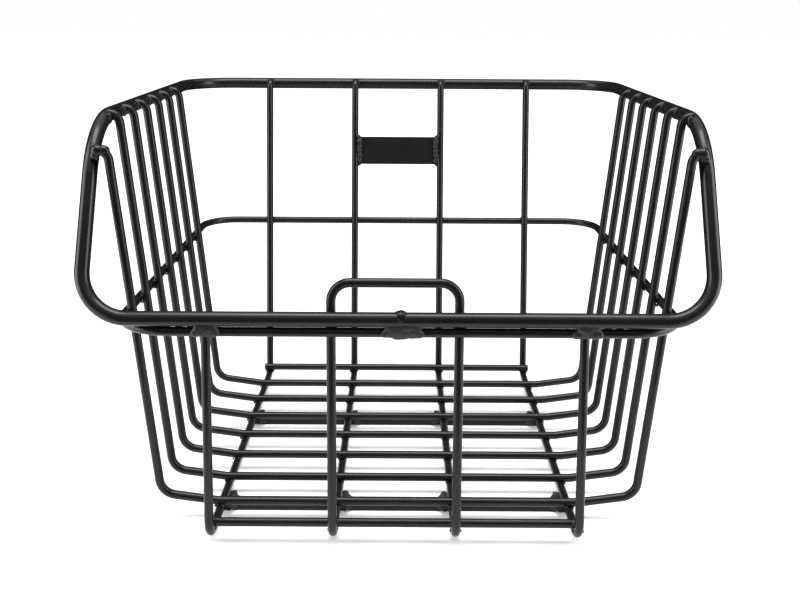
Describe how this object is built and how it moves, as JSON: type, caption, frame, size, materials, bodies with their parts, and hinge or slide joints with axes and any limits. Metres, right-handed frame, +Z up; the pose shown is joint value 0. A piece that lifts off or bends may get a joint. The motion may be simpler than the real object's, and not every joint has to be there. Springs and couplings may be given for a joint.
{
  "type": "handlebar basket",
  "caption": "Open welded-wire bicycle basket with a thick rim folded down to a low front wall, a tall back wall with a flat bracket plate, and strips under the floor.",
  "frame": {"origin": "middle of the overall box's underside, on the plane that the two floor strips rest on", "axes": "+X across the basket to the right as seen from the low wall, +Y from the low wall to the tall wall that faces the handlebar, +Z up"},
  "size_m": [0.3362, 0.3112, 0.2295],
  "materials": {
    "wire": "black powder coat, semi-gloss",
    "flat_bar": "black powder coat, semi-gloss",
    "weld_bead": "black powder coat over rough weld, semi-gloss"
  },
  "bodies": {
    "root": {"rim_wire": "wire", "left_long_wire": "wire", "right_long_wire": "wire", "hoop_wire": "wire", "cross_wire_1": "wire", "cross_wire_2": "wire", "cross_wire_3": "wire", "cross_wire_4": "wire", "cross_wire_5": "wire", "cross_wire_6": "wire", "cross_wire_7": "wire", "mid_ring_wire": "wire", "rear_floor_bar": "wire", "front_floor_bar": "wire", "rear_floor_strip": "flat_bar", "front_floor_strip": "flat_bar", "bracket_plate": "flat_bar", "rim_butt_weld": "weld_bead", "left_bridge_weld": "weld_bead", "centre_bridge_weld": "weld_bead", "right_bridge_weld": "weld_bead", "left_plate_weld": "weld_bead", "right_plate_weld": "weld_bead", "rear_strip_welds": "weld_bead", "front_strip_welds": "weld_bead"}
  },
  "joints": []
}
